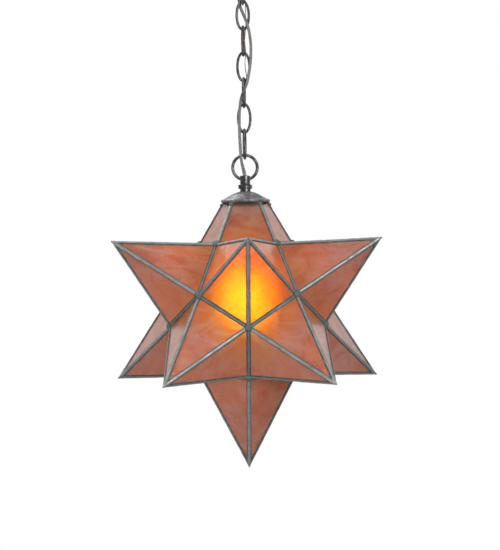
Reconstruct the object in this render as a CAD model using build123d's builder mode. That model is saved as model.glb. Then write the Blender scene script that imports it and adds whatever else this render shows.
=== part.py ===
from build123d import *

import os
from math import atan, cos, degrees, hypot, pi, radians, sin, sqrt, tan

# A moravian star pendant: a twelve-pointed star of amber mica panels held in soldered
# metal seams, hung from a ceiling canopy on seven oval links of lighting chain, with its
# supply cord and bare earth wire woven through the links and one lamp at its middle.
# The origin is the middle of the canopy's flat rim on the ceiling, +Z is up and the
# viewer stands on -Y.  All sizes are in millimetres.

# ---------------------------------------------------------------- the star
core_edge = 72.1  # side of the core's pentagons: the length of a valley between points
tip_radius = 190.5  # star centre to the tip of a point
bottom_tip_radius = 193.5  # the bottom point is a little longer
top_apex_radius = 179.0  # where the top point's faces would meet
top_cut_height = 130.0  # star centre to the opening under the cap
seam_width = 3.6  # half of a seam, measured across one face
rim_lip = 1.8  # metal along the top point's cut rim, measured across one face
seam_flange = 0.8  # thickness of a seam's lips over and under the panels
panel_thickness = 1.0
panel_clearance = 0.1  # between a panel and its groove
ridge_web = 1.7  # from a ridge to the groove's edge, across the face
valley_web = 0.9  # from a valley to the groove's edge, across the face
door_gap = 0.2  # from the door's mitre to its neighbours'
point_hollow_depth = 12.0  # how far a point's hollow runs on inside its base
cut_start = 1.0  # how far outside a face its window's cut starts

# ---------------------------------------------------------------- chain and loops
link_length = 38.1
link_width = 18.0
link_wire = 3.2
link_count = 7
link_turn = 8.0  # how far every second link hangs out of square, in degrees
ring_wire = 3.8
ring_outer = 33.8
hang_gap = 0.3  # between one link's wire and the next
barrel_diameter = 12.2
barrel_length = 11.0
ring_rise = 10.0  # from a barrel's end to the middle of its ring
barrel_chamfer = 0.6
cord_bore = 6.6
cord_bore_run = 4.0  # how far past a barrel's mouth its bore is cut
collar_diameter = 17.0
collar_length = 5.0
collar_chamfer = 0.6
collar_grips = 24
collar_grip_radius = 0.45

# ---------------------------------------------------------------- threaded tube and nuts
tube_diameter = 10.3  # threaded lamp tube
thread_clearance = 0.05  # radial, between the tube and what is threaded on it
tube_engagement = 7.0  # how far the tube enters a barrel
nut_across_flats = 14.3
nut_thickness = 4.0
nut_chamfer = 0.5

# ---------------------------------------------------------------- ceiling fitting
canopy_diameter = 127.0
canopy_depth = 26.0
canopy_wall = 0.9
canopy_flat_radius = 12.0
canopy_lip = 4.0
strap_length = 104.0
strap_width = 20.0
strap_thickness = 2.0
strap_slot_spacing = 88.9
strap_slot_width = 4.8
strap_slot_length = 10.0

# ---------------------------------------------------------------- cap on the star
cap_diameter = 60.0
cap_wall = 0.9
cap_rise = 13.5
cap_neck_radius = 7.5
cap_shoulder_radius = 21.4  # where the crown's slope eases into the flared brim
cap_shoulder_drop = 6.1  # from the top of the cap to its shoulder
cap_bead = 2.0  # radius of the rolled rim
neck_washer_diameter = 12.8
neck_washer_thickness = 3.5
seat_clearance = 0.05

# ---------------------------------------------------------------- inside the star
spider_drop = 3.5  # from the cut rim down to the spider
spider_thickness = 2.0
spider_arm_width = 5.0
spider_hub_radius = 11.0
socket_diameter = 38.0
socket_wall = 0.8
socket_cap_height = 17.0
socket_crown_radius = 11.8
socket_crown_drop = 1.0
socket_shoulder_drop = 7.6
socket_shell_length = 40.0
socket_overlap = 5.0
socket_fit = 0.15
socket_body_setback = 2.5  # from the shell's top end down to its porcelain
socket_body_rise = 2.0  # from the shell's bottom end up to its porcelain
screw_shell_wall = 0.5
screw_shell_length = 24.0
screw_shell_clearance = 0.05
contact_gap = 0.2
contact_thickness = 0.8
contact_radius = 4.0
contact_width = 5.0
contact_inset = 3.0  # from the ends of the contact to the bore
lamp_thread_radius = 13.1
lamp_thread_clearance = 0.35
lamp_recess = 9.0  # from the socket cap's lower edge to the top of the lamp
lamp_base_length = 25.0
lamp_tip_radius = 4.5
lamp_tip_height = 1.0
lamp_insulator_inset = 4.0
lamp_insulator_height = 3.0
lamp_thread_start = 5.0
lamp_neck_inset = 0.2
lamp_globe_radius = 30.0
lamp_length = 112.0
lamp_wall = 0.8
stem_length = 34.0
stem_foot_radius = 5.0
stem_flare_length = 8.0
stem_radius = 3.2
stem_end_radius = 2.2
lead_radius = 0.35
lead_grip = 4.0  # how far the leads run up into the stem
filament_radius = 0.6
filament_span = 22.0

# ---------------------------------------------------------------- door
hinge_tube_radius = 1.6
hinge_pin_radius = 0.8
hinge_bore_clearance = 0.05
hinge_standoff = 2.1  # from the valley line out to the pin
hinge_knuckles = 5
hinge_knuckle_length = 7.0
hinge_knuckle_gap = 0.15
hinge_pin_head = 0.6
solder_bed_start = 0.6  # from the valley to the solder under a hinge tube
solder_bed_width = 2.9
solder_bed_height = 1.2
solder_bed_slope = 0.2
tab_face = 3  # which of the door's faces carries the tab, counted on from the hinge
tab_width = 10.0
tab_height = 6.0
tab_thickness = 1.0
tab_corner = 2.0

# ---------------------------------------------------------------- cord and earth wire
cord_diameter = 3.6
earth_diameter = 1.1
cord_top_tuck = 8.0  # how far both run up into the ceiling fitting's tube
cord_bottom_tuck = 3.0  # how far both run down into the socket
arc_share = 0.45  # of the shorter run, which a bend of the cord takes up

# ---------------------------------------------------------------- worked-out sizes
golden = (1 + sqrt(5)) / 2
core_inradius = core_edge * golden**2 / (2 * sqrt(3 - golden))
face_inradius = core_edge / (2 * tan(pi / 5))
point_elevation = degrees(atan(1 / 2))
seam_depth = 2 * seam_flange + panel_thickness + 2 * panel_clearance
panel_depth = seam_flange + panel_clearance
foot = core_inradius - point_hollow_depth  # where the hollow of a point is cut off inside the star

ring_radius = (ring_outer - ring_wire) / 2
link_half_width = (link_width - link_wire) / 2
link_reach = link_length - link_wire  # between the middles of a link's end wires
link_pitch = link_reach - link_wire - hang_gap
ring_hang = (ring_wire + link_wire) / 2 + hang_gap

ceiling_collar_top = -canopy_depth
ceiling_barrel_top = ceiling_collar_top - collar_length
ceiling_ring_z = ceiling_barrel_top - barrel_length - ring_rise
first_hinge_z = ceiling_ring_z - ring_radius
first_link_top = first_hinge_z + ring_hang
link_hinge_z = [first_hinge_z] + [
    first_link_top - link_reach - link_pitch * number for number in range(link_count)
]
star_ring_z = link_hinge_z[-1] + ring_hang - ring_radius
star_barrel_top = star_ring_z - ring_rise
star_collar_top = star_barrel_top - barrel_length
neck_top = star_collar_top - collar_length
cap_top = neck_top - neck_washer_thickness
cap_rim = cap_top - cap_rise
star_z = cap_rim - seat_clearance - top_cut_height
star_centre = Vector(0, 0, star_z)

spider_top = star_z + top_cut_height - spider_drop
socket_top = spider_top - spider_thickness - nut_thickness
shell_top = socket_top - socket_cap_height + socket_overlap
shell_bottom = shell_top - socket_shell_length
lamp_top = socket_top - socket_cap_height - lamp_recess

os.makedirs("parts", exist_ok=True)


def keep(piece, name):
    """Labels a finished piece and writes it under its name."""
    piece.part.label = name
    export_step(piece.part, f"parts/{name}.step")


def shell_of_revolution(outer, inner):
    """Turns the wall between two outlines, each a list of (radius, height), about Z."""
    with BuildPart() as wall:
        with BuildSketch(Plane.XZ):
            Polygon(*outer, *reversed(inner), align=None)
        revolve(axis=Axis.Z)
    return wall


def tube(outer_radius, inner_radius, top, bottom):
    """A plain tube about the hanging axis."""
    with BuildPart() as body:
        with BuildSketch(Plane.XY.offset(bottom)):
            Circle(outer_radius)
            Circle(inner_radius, mode=Mode.SUBTRACT)
        extrude(amount=top - bottom)
    return body


# ================================================================ ceiling fitting
with BuildPart() as canopy:
    outer_radius = canopy_diameter / 2
    bowl_radius = outer_radius - canopy_flat_radius
    with BuildSketch(Plane.XZ):
        with Locations((canopy_flat_radius, 0)):
            Ellipse(bowl_radius, canopy_depth)
        Rectangle(canopy_flat_radius, canopy_depth, align=(Align.MIN, Align.MAX))
        with Locations((canopy_flat_radius, 0)):
            Ellipse(bowl_radius - canopy_wall, canopy_depth - canopy_wall, mode=Mode.SUBTRACT)
        hollow = canopy_depth - canopy_wall
        Rectangle(canopy_flat_radius, hollow, align=(Align.MIN, Align.MAX), mode=Mode.SUBTRACT)
        with Locations((outer_radius, 0)):
            Rectangle(canopy_lip, canopy_wall, align=(Align.MAX, Align.MAX))
        Rectangle(outer_radius, canopy_depth, align=(Align.MIN, Align.MAX), mode=Mode.INTERSECT)
    revolve(axis=Axis.Z)
    with Locations((0, 0, -canopy_depth)):
        Hole(tube_diameter / 2 + thread_clearance, depth=2 * canopy_depth)
keep(canopy, "ceiling_canopy")

with BuildPart() as strap:
    with BuildSketch():
        Rectangle(strap_length, strap_width)
        Circle(tube_diameter / 2 + thread_clearance, mode=Mode.SUBTRACT)
        with Locations((-strap_slot_spacing / 2, 0), (strap_slot_spacing / 2, 0)):
            SlotOverall(strap_slot_length, strap_slot_width, mode=Mode.SUBTRACT)
    extrude(amount=-strap_thickness)
    fillet(strap.edges().filter_by(Axis.Z).sort_by(Axis.X)[:2], strap_width / 4)
    fillet(strap.edges().filter_by(Axis.Z).sort_by(Axis.X)[-2:], strap_width / 4)
keep(strap, "mounting_strap")


def hex_nut(top):
    """A thin hexagon nut for the threaded tube, from top down."""
    with BuildPart() as nut:
        with BuildSketch(Plane.XY.offset(top - nut_thickness)):
            RegularPolygon(nut_across_flats / 2, 6, major_radius=False)
            Circle(tube_diameter / 2 + thread_clearance, mode=Mode.SUBTRACT)
        extrude(amount=nut_thickness)
        chamfer(nut.faces().sort_by(Axis.Z)[-1].outer_wire().edges(), nut_chamfer)
    return nut


keep(hex_nut(-strap_thickness), "strap_nut")

ceiling_tube_bottom = ceiling_barrel_top - tube_engagement
keep(tube(tube_diameter / 2, cord_bore / 2, 0, ceiling_tube_bottom), "ceiling_nipple")


def collar(top):
    """A ring screwed up the threaded tube, with grip grooves round its edge."""
    with BuildPart() as ring:
        with BuildSketch(Plane.XY.offset(top - collar_length)):
            Circle(collar_diameter / 2)
            Circle(tube_diameter / 2 + thread_clearance, mode=Mode.SUBTRACT)
        extrude(amount=collar_length)
        chamfer(ring.edges().filter_by(GeomType.CIRCLE).group_by(SortBy.RADIUS)[-1], collar_chamfer)
        with BuildSketch(Plane.XY.offset(top - collar_length)):
            with PolarLocations(collar_diameter / 2, collar_grips):
                Circle(collar_grip_radius)
        extrude(amount=collar_length, mode=Mode.SUBTRACT)
    return ring


keep(collar(ceiling_collar_top), "ceiling_collar")


def hanging_loop(ring_z, barrel_end_z):
    """A wire ring on a bored barrel: the barrel takes the threaded tube and lets the
    cord through into the ring.  barrel_end_z is the end away from the ring."""
    up = 1 if ring_z > barrel_end_z else -1
    mouth_z = barrel_end_z + up * barrel_length
    with BuildPart() as loop:
        with BuildSketch(Plane.XY.offset(barrel_end_z)):
            Circle(barrel_diameter / 2)
        extrude(amount=up * barrel_length)
        chamfer(loop.edges(), barrel_chamfer)
        with Locations((0, 0, ring_z)):
            Torus(ring_radius, ring_wire / 2, rotation=(90, 0, 0))
        with BuildSketch(Plane.XY.offset(barrel_end_z)):
            Circle(tube_diameter / 2 + thread_clearance)
        extrude(amount=up * tube_engagement, mode=Mode.SUBTRACT)
        with BuildSketch(Plane.XY.offset(mouth_z + up * cord_bore_run)):
            Circle(cord_bore / 2)
        extrude(amount=-up * (barrel_length + cord_bore_run), mode=Mode.SUBTRACT)
    return loop


keep(hanging_loop(ceiling_ring_z, ceiling_barrel_top), "ceiling_loop")

# ================================================================ chain
for number in range(link_count):
    top_wire_z = link_hinge_z[number] + (ring_hang if number == 0 else link_wire + hang_gap)
    turn = radians(90 if number % 2 == 1 else link_turn)
    width_way = Vector(sin(turn), cos(turn), 0)
    middle = Vector(0, 0, top_wire_z - link_reach / 2)
    upright = Plane(origin=middle, x_dir=width_way, z_dir=width_way.cross(Vector(0, 0, 1)))
    with BuildSketch(upright) as oval:
        Ellipse(link_half_width, link_reach / 2)
    wire_line = oval.sketch.face().outer_wire()
    with BuildPart() as link:
        with BuildSketch(Plane(origin=wire_line @ 0, z_dir=wire_line % 0)):
            Circle(link_wire / 2)
        sweep(path=wire_line)
    keep(link, f"chain_link_{number + 1}")

# ================================================================ top of the star
keep(hanging_loop(star_ring_z, star_collar_top), "star_loop")
keep(collar(star_collar_top), "star_collar")
washer_bore = tube_diameter / 2 + thread_clearance
keep(tube(neck_washer_diameter / 2, washer_bore, neck_top, cap_top), "neck_washer")

with BuildPart() as cap:
    cap_radius = cap_diameter / 2
    bead_z = cap_rim + cap_bead
    with BuildSketch(Plane.XZ):
        with BuildLine():
            crown = Line((0, cap_top), (cap_neck_radius, cap_top))
            shoulder = (cap_shoulder_radius, cap_top - cap_shoulder_drop)
            rim = (cap_radius - cap_bead / 2, bead_z + cap_bead / 2)
            brow = Spline(crown @ 1, shoulder, rim, tangents=((1, -0.2), (1, -0.55)))
            floor = Line(brow @ 1, (0, rim[1]))
            Line(floor @ 1, crown @ 0)
        make_face()
    revolve(axis=Axis.Z)
    offset(amount=-cap_wall, openings=cap.faces().sort_by(Axis.Z)[0])
    with Locations((0, 0, bead_z)):
        Torus(cap_radius - cap_bead, cap_bead)
    with Locations((0, 0, cap_top)):
        Hole(washer_bore, depth=cap_rise)
keep(cap, "vase_cap")

star_tube_top = star_collar_top + tube_engagement
star_tube_bottom = socket_top - socket_wall
keep(tube(tube_diameter / 2, cord_bore / 2, star_tube_top, star_tube_bottom), "star_nipple")

with BuildPart() as spider:
    with BuildSketch(Plane.XY.offset(spider_top - spider_thickness)):
        Circle(spider_hub_radius)
        with PolarLocations(0, 5, start_angle=90):
            Rectangle(cap_diameter / 2, spider_arm_width, align=(Align.MIN, Align.CENTER))
        Circle(tube_diameter / 2 + thread_clearance, mode=Mode.SUBTRACT)
    extrude(amount=spider_thickness)


# ================================================================ points of the star
def spire(apex, depth):
    """The space within a point's five faces, each moved in by depth.  In a point's own
    frame the star's centre is the origin, Z runs out to the tip and X runs to a corner
    of the base."""
    lean = atan(face_inradius / (apex - core_inradius))
    peak = apex - depth / sin(lean)
    with BuildPart() as body:
        with BuildSketch(Plane.XY.offset(foot)) as base:
            RegularPolygon((peak - foot) * tan(lean), 5, major_radius=False)
        loft(sections=[base.sketch, Vertex(0, 0, peak)], ruled=True)
    return body.part


def wedge(gap):
    """A point's share of the star: planes from the centre through its five valleys."""
    opening = atan(face_inradius / core_inradius)
    reach = 2 * tip_radius
    start = gap / sin(opening)
    with BuildPart() as body:
        with BuildSketch(Plane.XY.offset(reach)) as mouth:
            RegularPolygon((reach - start) * tan(opening), 5, major_radius=False)
        loft(sections=[Vertex(0, 0, start), mouth.sketch], ruled=True)
    return body.part


def face_plane(apex):
    """The outside of the point's first face: origin mid-valley, Y towards the tip."""
    lean = atan(face_inradius / (apex - core_inradius))
    along, outward = (-sin(pi / 5), cos(pi / 5), 0), (cos(pi / 5), sin(pi / 5))
    middle = (face_inradius * outward[0], face_inradius * outward[1], core_inradius)
    normal = (cos(lean) * outward[0], cos(lean) * outward[1], sin(lean))
    return Plane(origin=middle, x_dir=along, z_dir=normal)


def face_corners(apex, ridge_inset, valley_inset, rim_inset=None):
    """The corners of one face, drawn in from its two ridges, its valley and the rim."""
    slant = hypot(face_inradius, apex - core_inradius)
    side = ridge_inset / cos(atan(core_edge / 2 / slant))
    rim_height = (top_cut_height - core_inradius) * slant / (apex - core_inradius)

    def half_width(height):
        return core_edge / 2 * (1 - height / slant) - side

    corners = [(half_width(valley_inset), valley_inset)]
    if rim_inset is None:
        corners += [(0, slant * (1 - side / (core_edge / 2)))]
    else:
        top = rim_height - rim_inset
        corners += [(half_width(top), top), (-half_width(top), top)]
    return corners + [(-half_width(valley_inset), valley_inset)]


def slab(apex, corners, depth, thickness):
    """A flat piece of one face, from depth under its surface."""
    with BuildPart() as piece:
        with BuildSketch(face_plane(apex).offset(-depth)):
            Polygon(*corners, align=None)
        extrude(amount=-thickness)
    return piece.part


def seams(apex, gap=0.0, cut=False):
    """A point's metal: five ridges and five half valleys, with a groove for each panel."""
    rim = (rim_lip, valley_web) if cut else (None, None)
    window_corners = face_corners(apex, seam_width, seam_width, rim[0])
    window = slab(apex, window_corners, -cut_start, seam_depth + 2 * cut_start)
    groove_depth = panel_thickness + 2 * panel_clearance
    groove_corners = face_corners(apex, ridge_web, valley_web, rim[1])
    groove = slab(apex, groove_corners, seam_flange, groove_depth)
    with BuildPart() as metal:
        add(spire(apex, 0))
        add(spire(apex, seam_depth), mode=Mode.SUBTRACT)
        add(wedge(gap), mode=Mode.INTERSECT)
        if cut:
            split(bisect_by=Plane.XY.offset(top_cut_height), keep=Keep.BOTTOM)
        with PolarLocations(0, 5):
            add(window, mode=Mode.SUBTRACT)
            add(groove, mode=Mode.SUBTRACT)
    return metal.part


def panels(apex, cut=False):
    """A point's five thin panels, each loose in its groove."""
    ridge_inset = ridge_web + panel_clearance
    valley_inset = valley_web + panel_clearance
    corners = face_corners(apex, ridge_inset, valley_inset, valley_inset if cut else None)
    with BuildPart() as sheets:
        with PolarLocations(0, 5):
            add(slab(apex, corners, panel_depth, panel_thickness))
    return sheets.part


def point_plane(azimuth, elevation):
    """Where a point stands: azimuth runs from the front (-Y) towards +X.  The upper
    five points hang a corner of their base downwards, the others upwards."""
    turn, rise = radians(azimuth), radians(elevation)
    outward = Vector(cos(rise) * sin(turn), -cos(rise) * cos(turn), sin(rise))
    upward = Vector(-sin(rise) * sin(turn), sin(rise) * cos(turn), cos(rise))
    corner = -upward if 0 < elevation < 90 else upward
    return Plane(origin=star_centre, x_dir=corner, z_dir=outward)


def place(pattern, plane, name):
    """Sets a copy of a pattern at a point's place and keeps it."""
    with BuildPart() as placed:
        with Locations(plane):
            add(pattern)
    keep(placed, name)


point_seams, point_panels = seams(tip_radius), panels(tip_radius)
top_plane, bottom_plane = point_plane(0, 90), point_plane(0, -90)
place(seams(top_apex_radius, cut=True), top_plane, "top_point_seams")
place(panels(top_apex_radius, cut=True), top_plane, "top_point_panels")
place(seams(bottom_tip_radius), bottom_plane, "bottom_point_seams")
place(panels(bottom_tip_radius), bottom_plane, "bottom_point_panels")
for number in range(5):
    upper_plane = point_plane(72 * number, point_elevation)
    place(point_seams, upper_plane, f"upper_point_{number + 1}_seams")
    place(point_panels, upper_plane, f"upper_point_{number + 1}_panels")
lower_azimuths = {"front_right": 36, "right": 108, "left": 252, "front_left": 324}
for side, azimuth in lower_azimuths.items():
    lower_plane = point_plane(azimuth, -point_elevation)
    place(point_seams, lower_plane, f"lower_{side}_point_seams")
    place(point_panels, lower_plane, f"lower_{side}_point_panels")
door_plane = point_plane(180, -point_elevation)
place(seams(tip_radius, gap=door_gap), door_plane, "door_seams")
place(point_panels, door_plane, "door_panels")

with BuildPart() as spider_fitted:
    add(spider.part)
    with Locations(top_plane):
        add(spire(top_apex_radius, seam_depth), mode=Mode.INTERSECT)
keep(spider_fitted, "spider")
keep(hex_nut(spider_top - spider_thickness), "nipple_nut")

# ================================================================ door hinge and tab
# The door is the rear lower point.  Its pin lies along the first of its valleys, a
# little outside it, and five short tubes are soldered on the two sides in turn.
valley_outward = Vector(face_inradius * cos(pi / 5), face_inradius * sin(pi / 5), core_inradius)
valley_along = Vector(-sin(pi / 5), cos(pi / 5), 0)
pin_middle = valley_outward + valley_outward.normalized() * hinge_standoff
pin_plane = Plane(origin=pin_middle, x_dir=valley_outward, z_dir=valley_along)
face_turn = atan(face_inradius / core_inradius) + atan(face_inradius / (tip_radius - core_inradius))


def on_face(along_face, height, side):
    """A spot in the pin's section plane, from the valley up one face and out from it."""
    x = along_face * cos(face_turn) + height * sin(face_turn) - hinge_standoff
    y = along_face * sin(face_turn) - height * cos(face_turn)
    return (x, side * y)


def knuckles(first, side):
    """Every second tube from the first, each on its bed of solder on one side."""
    pitch = hinge_knuckle_length + hinge_knuckle_gap
    centre = (hinge_knuckles - 1) / 2
    bed = [
        on_face(solder_bed_start, 0, side),
        on_face(solder_bed_width, 0, side),
        on_face(solder_bed_width - solder_bed_slope, solder_bed_height, side),
        (0, 0),
    ]
    with BuildPart() as tubes:
        for index in range(first, hinge_knuckles, 2):
            start = (index - centre) * pitch - hinge_knuckle_length / 2
            with BuildSketch(pin_plane.offset(start)):
                Circle(hinge_tube_radius)
                Polygon(*bed, align=None)
                Circle(hinge_pin_radius + hinge_bore_clearance, mode=Mode.SUBTRACT)
            extrude(amount=hinge_knuckle_length)
    return tubes.part


place(knuckles(0, 1), door_plane, "hinge_tubes_star")
place(knuckles(1, -1), door_plane, "hinge_tubes_door")

with BuildPart() as pin:
    pin_half = hinge_knuckles * (hinge_knuckle_length + hinge_knuckle_gap) / 2
    with BuildSketch(pin_plane.offset(-pin_half)):
        Circle(hinge_pin_radius)
    extrude(amount=2 * pin_half)
    for end in (-pin_half - hinge_pin_head, pin_half):
        with BuildSketch(pin_plane.offset(end)):
            Circle(hinge_tube_radius)
        extrude(amount=hinge_pin_head)
place(pin.part, door_plane, "hinge_pin")

tab_plane = face_plane(tip_radius)
up_the_face = Axis(tab_plane.origin, tab_plane.y_dir)
off_the_face = Axis(tab_plane.origin, tab_plane.z_dir)
with BuildPart() as tab:
    with BuildSketch(tab_plane):
        with Locations((0, seam_width / 2)):
            Rectangle(tab_width, tab_thickness)
    extrude(amount=tab_height)
    fillet(tab.edges().filter_by(up_the_face).group_by(off_the_face)[-1], tab_corner)
with BuildPart() as tab_turned:
    with PolarLocations(0, 1, start_angle=tab_face * 360 / 5):
        add(tab.part)
place(tab_turned.part, door_plane, "door_tab")

# ================================================================ socket and lamp
cap_outer = socket_diameter / 2
cap_profile = [
    (washer_bore, socket_top),
    (socket_crown_radius, socket_top - socket_crown_drop),
    (cap_outer, socket_top - socket_shoulder_drop),
    (cap_outer, socket_top - socket_cap_height),
]
cap_inside = [
    (washer_bore, socket_top - socket_wall),
    (socket_crown_radius - socket_wall / 3, socket_top - socket_crown_drop - socket_wall),
    (cap_outer - socket_wall, socket_top - socket_shoulder_drop - socket_wall / 2),
    (cap_outer - socket_wall, socket_top - socket_cap_height),
]
keep(shell_of_revolution(cap_profile, cap_inside), "socket_cap")

shell_outer = cap_outer - socket_wall - socket_fit
keep(tube(shell_outer, shell_outer - socket_wall, shell_top, shell_bottom), "socket_shell")

lamp_bore = lamp_thread_radius + lamp_thread_clearance
screw_shell_outer = lamp_bore + screw_shell_wall
body_top = shell_top - socket_body_setback
body_bottom = shell_bottom + socket_body_rise
plate_under = lamp_top + contact_gap + contact_thickness
body_bore = screw_shell_outer + screw_shell_clearance
with BuildPart() as socket_body:
    with BuildSketch(Plane.XY.offset(body_bottom)):
        Circle(shell_outer - socket_wall - socket_fit)
    extrude(amount=body_top - body_bottom)
    with BuildSketch(Plane.XY.offset(body_bottom)):
        Circle(body_bore)
    extrude(amount=plate_under - body_bottom, mode=Mode.SUBTRACT)
keep(socket_body, "socket_body")
screw_shell_top = plate_under - contact_thickness
screw_shell_bottom = screw_shell_top - screw_shell_length
keep(tube(screw_shell_outer, lamp_bore, screw_shell_top, screw_shell_bottom), "screw_shell")

with BuildPart() as contact:
    with BuildSketch(Plane.XY.offset(plate_under - contact_thickness)):
        Circle(contact_radius)
        Rectangle(2 * (lamp_bore - contact_inset), contact_width)
    extrude(amount=contact_thickness)
keep(contact, "lamp_contact")

lamp_neck_z = lamp_top - lamp_base_length
with BuildPart() as lamp_base:
    with BuildSketch(Plane.XZ):
        outline = [
            (0, lamp_top),
            (lamp_tip_radius, lamp_top),
            (lamp_tip_radius, lamp_top - lamp_tip_height),
            (lamp_thread_radius - lamp_insulator_inset, lamp_top - lamp_insulator_height),
            (lamp_thread_radius, lamp_top - lamp_thread_start),
            (lamp_thread_radius, lamp_neck_z),
            (0, lamp_neck_z),
        ]
        Polygon(*outline, align=None)
    revolve(axis=Axis.Z)
keep(lamp_base, "lamp_base")

lamp_neck_radius = lamp_thread_radius - lamp_neck_inset
globe_z = lamp_top - lamp_length + lamp_globe_radius
with BuildPart() as lamp_glass:
    with BuildSketch(Plane.XZ):
        with BuildLine():
            neck = Line((0, lamp_neck_z), (lamp_neck_radius, lamp_neck_z))
            Spline(neck @ 1, (lamp_globe_radius, globe_z), tangents=((0.05, -1), (0, -1)))
            globe = CenterArc((0, globe_z), lamp_globe_radius, 0, -90)
            Line(globe @ 1, neck @ 0)
        make_face()
    revolve(axis=Axis.Z)
    offset(amount=-lamp_wall, openings=lamp_glass.faces().sort_by(Axis.Z)[-1])
keep(lamp_glass, "lamp_glass")

stem_bottom = lamp_neck_z - stem_length
with BuildPart() as filament:
    with BuildSketch(Plane.XZ):
        stem = [
            (0, lamp_neck_z),
            (stem_foot_radius, lamp_neck_z),
            (stem_radius, lamp_neck_z - stem_flare_length),
            (stem_end_radius, stem_bottom),
            (0, stem_bottom),
        ]
        Polygon(*stem, align=None)
    revolve(axis=Axis.Z)
    for side in (-1, 1):
        with BuildLine() as lead:
            Polyline((0, 0, stem_bottom + lead_grip), (side * filament_span / 2, 0, globe_z))
        with BuildSketch(Plane(origin=lead.line @ 0, z_dir=lead.line % 0)):
            Circle(lead_radius)
        sweep(path=lead.line, transition=Transition.RIGHT)
    with BuildSketch(Plane.YZ.offset(-filament_span / 2)):
        with Locations((0, globe_z)):
            Circle(filament_radius)
    extrude(amount=filament_span)
keep(filament, "lamp_filament")

# ================================================================ supply cord and earth wire
# Where each passes, hand-chosen from top to bottom: (right, behind, up).  The cord goes
# behind the ceiling ring and the second link, through that link, past the third, in
# front of the fourth, through the fifth, and down in front of the sixth and the ring.
cord_route = [
    (-0.9, 0, -36),
    (-0.9, 0, -49),
    (-4.2, 4.3, -61),
    (-4.8, 4.8, -73),
    (-4.4, 4.3, -86),
    (-4.1, 4.1, -98),
    (0.3, 0.6, -110),
    (4.9, -4.1, -121.5),
    (7.8, -4.3, -134),
    (9.4, -3.9, -148),
    (9.2, -4.2, -162),
    (7.9, -4.4, -175),
    (5.8, -4.4, -186),
    (4.2, -4.3, -194.5),
    (-0.4, -2.9, -205),
    (-3.7, -3.6, -214),
    (-5.1, -4.4, -223),
    (-6.1, -4.4, -234),
    (-6.2, -4.3, -248),
    (-5.9, -4.4, -263),
    (-5.3, -4.4, -277),
    (-4.7, -4.5, -288),
    (-2.6, -2.2, -298.5),
    (-0.9, 0, -307.5),
    (-0.9, 0, -319),
]
earth_route = [
    (1.75, 0, -36),
    (1.75, 0, -49),
    (3.4, 3.1, -61),
    (3.7, 3.7, -74),
    (3.2, 3.4, -89),
    (3.4, 3.3, -103),
    (3.6, 3.4, -116),
    (3.7, 3.3, -127),
    (2.2, 2.4, -138),
    (2.0, 1.9, -147),
    (3.5, 3.1, -156.5),
    (2.0, 3.4, -165),
    (1.9, 3.4, -174),
    (3.4, 3.3, -184),
    (4.3, 3.0, -192),
    (-0.3, 0.9, -205),
    (-4.4, 1.9, -215),
    (-5.9, 2.7, -224),
    (-6.4, 2.7, -238),
    (-5.9, 2.7, -252),
    (-5.8, 1.6, -264),
    (-5.4, 2.8, -275),
    (-4.4, 2.9, -286),
    (-0.8, 1.6, -297.5),
    (1.75, 0, -307.5),
    (1.75, 0, -319),
]
cord_start = ceiling_barrel_top + cord_top_tuck
cord_end = socket_top - socket_wall - cord_bottom_tuck


def woven(route, diameter):
    """A round cord along a route of straight runs joined by arcs, each as large as its
    runs allow, and straight on into the bores at both ends."""
    spots = [Vector(*spot) for spot in route]
    runs = [after - before for before, after in zip(spots, spots[1:])]
    radii = []
    for one, other in zip(runs, runs[1:]):
        half_turn = radians(one.get_angle(other)) / 2
        radii.append(arc_share * min(one.length, other.length) / tan(half_turn))
    with BuildPart() as body:
        with BuildLine() as path:
            FilletPolyline(*spots, radius=radii)
        with BuildSketch(Plane(origin=path.line @ 0, z_dir=path.line % 0)):
            Circle(diameter / 2)
        sweep(path=path.line)
        for spot, far_z in ((spots[0], cord_start), (spots[-1], cord_end)):
            with BuildSketch(Plane.XY.offset(spot.Z)):
                with Locations((spot.X, spot.Y)):
                    Circle(diameter / 2)
            extrude(amount=far_z - spot.Z)
    length = path.wires()[0].length + abs(cord_start - spots[0].Z) + abs(cord_end - spots[-1].Z)
    section = pi * (diameter / 2) ** 2
    print("length", round(length, 1), "least radius", round(min(radii), 1))
    print("volume", round(body.part.volume), "section times length", round(section * length))
    return body


keep(woven(cord_route, cord_diameter), "supply_cord")
keep(woven(earth_route, earth_diameter), "earth_wire")
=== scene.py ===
"""A moravian star pendant: twelve points of amber mica in soldered metal, lit from inside
and hung on seven links of chain, with its supply cord and earth wire woven through them."""

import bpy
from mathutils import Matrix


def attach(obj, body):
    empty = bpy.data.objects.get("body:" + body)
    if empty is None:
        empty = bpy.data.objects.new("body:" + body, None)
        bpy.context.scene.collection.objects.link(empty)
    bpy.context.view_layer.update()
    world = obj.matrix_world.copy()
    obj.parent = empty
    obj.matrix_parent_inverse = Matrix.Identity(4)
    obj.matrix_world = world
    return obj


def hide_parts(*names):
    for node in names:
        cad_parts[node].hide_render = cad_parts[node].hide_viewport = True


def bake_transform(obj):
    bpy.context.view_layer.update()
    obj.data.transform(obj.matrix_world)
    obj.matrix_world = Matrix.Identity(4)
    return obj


bl_info = {
    "name": "Moravian star pendant",
    "version": (1, 0, 0),
    "blender": (4, 5, 0),
    "location": "3D View > Sidebar > Star pendant",
    "description": "Dresses a twelve-pointed mica star lamp, its chain and its cord",
    "category": "Object",
}

from math import acos, atan2, cos, pi, radians, sin, sqrt

import bmesh
import bpy
from bpy.props import FloatProperty, FloatVectorProperty, PointerProperty
from mathutils import Matrix, Vector

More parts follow.
